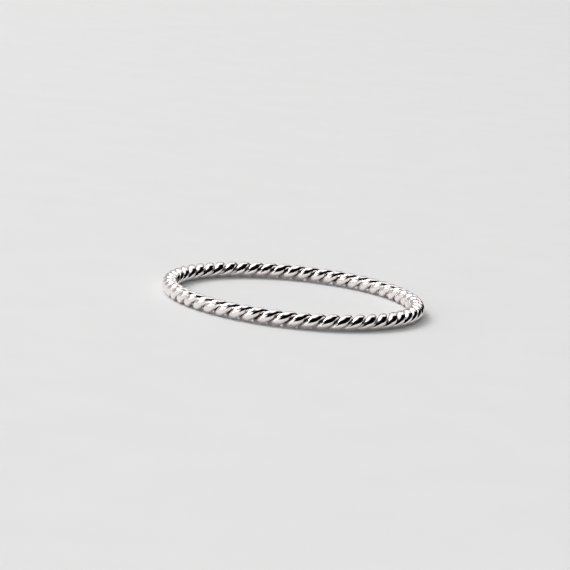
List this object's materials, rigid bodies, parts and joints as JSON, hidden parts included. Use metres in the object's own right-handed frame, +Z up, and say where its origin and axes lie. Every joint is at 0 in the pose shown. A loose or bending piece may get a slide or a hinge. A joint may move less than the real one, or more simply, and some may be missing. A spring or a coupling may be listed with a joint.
{
  "type": "stackable ring",
  "caption": "Slim finger ring for stacking: two round wires twisted into an even rope, bent into a hoop and soldered shut, lying on its side.",
  "frame": {"origin": "centre of the ring, on the surface that it lies on", "axes": "+Z up along the finger axis; the band is the same every half turn about Z, with a crest of the twist facing out on +X and on -X"},
  "size_m": [0.0198, 0.0196, 0.0011],
  "materials": {
    "silver": "polished sterling silver wire, tumbled bright"
  },
  "bodies": {
    "root": {"twisted_band": "silver"}
  },
  "joints": []
}
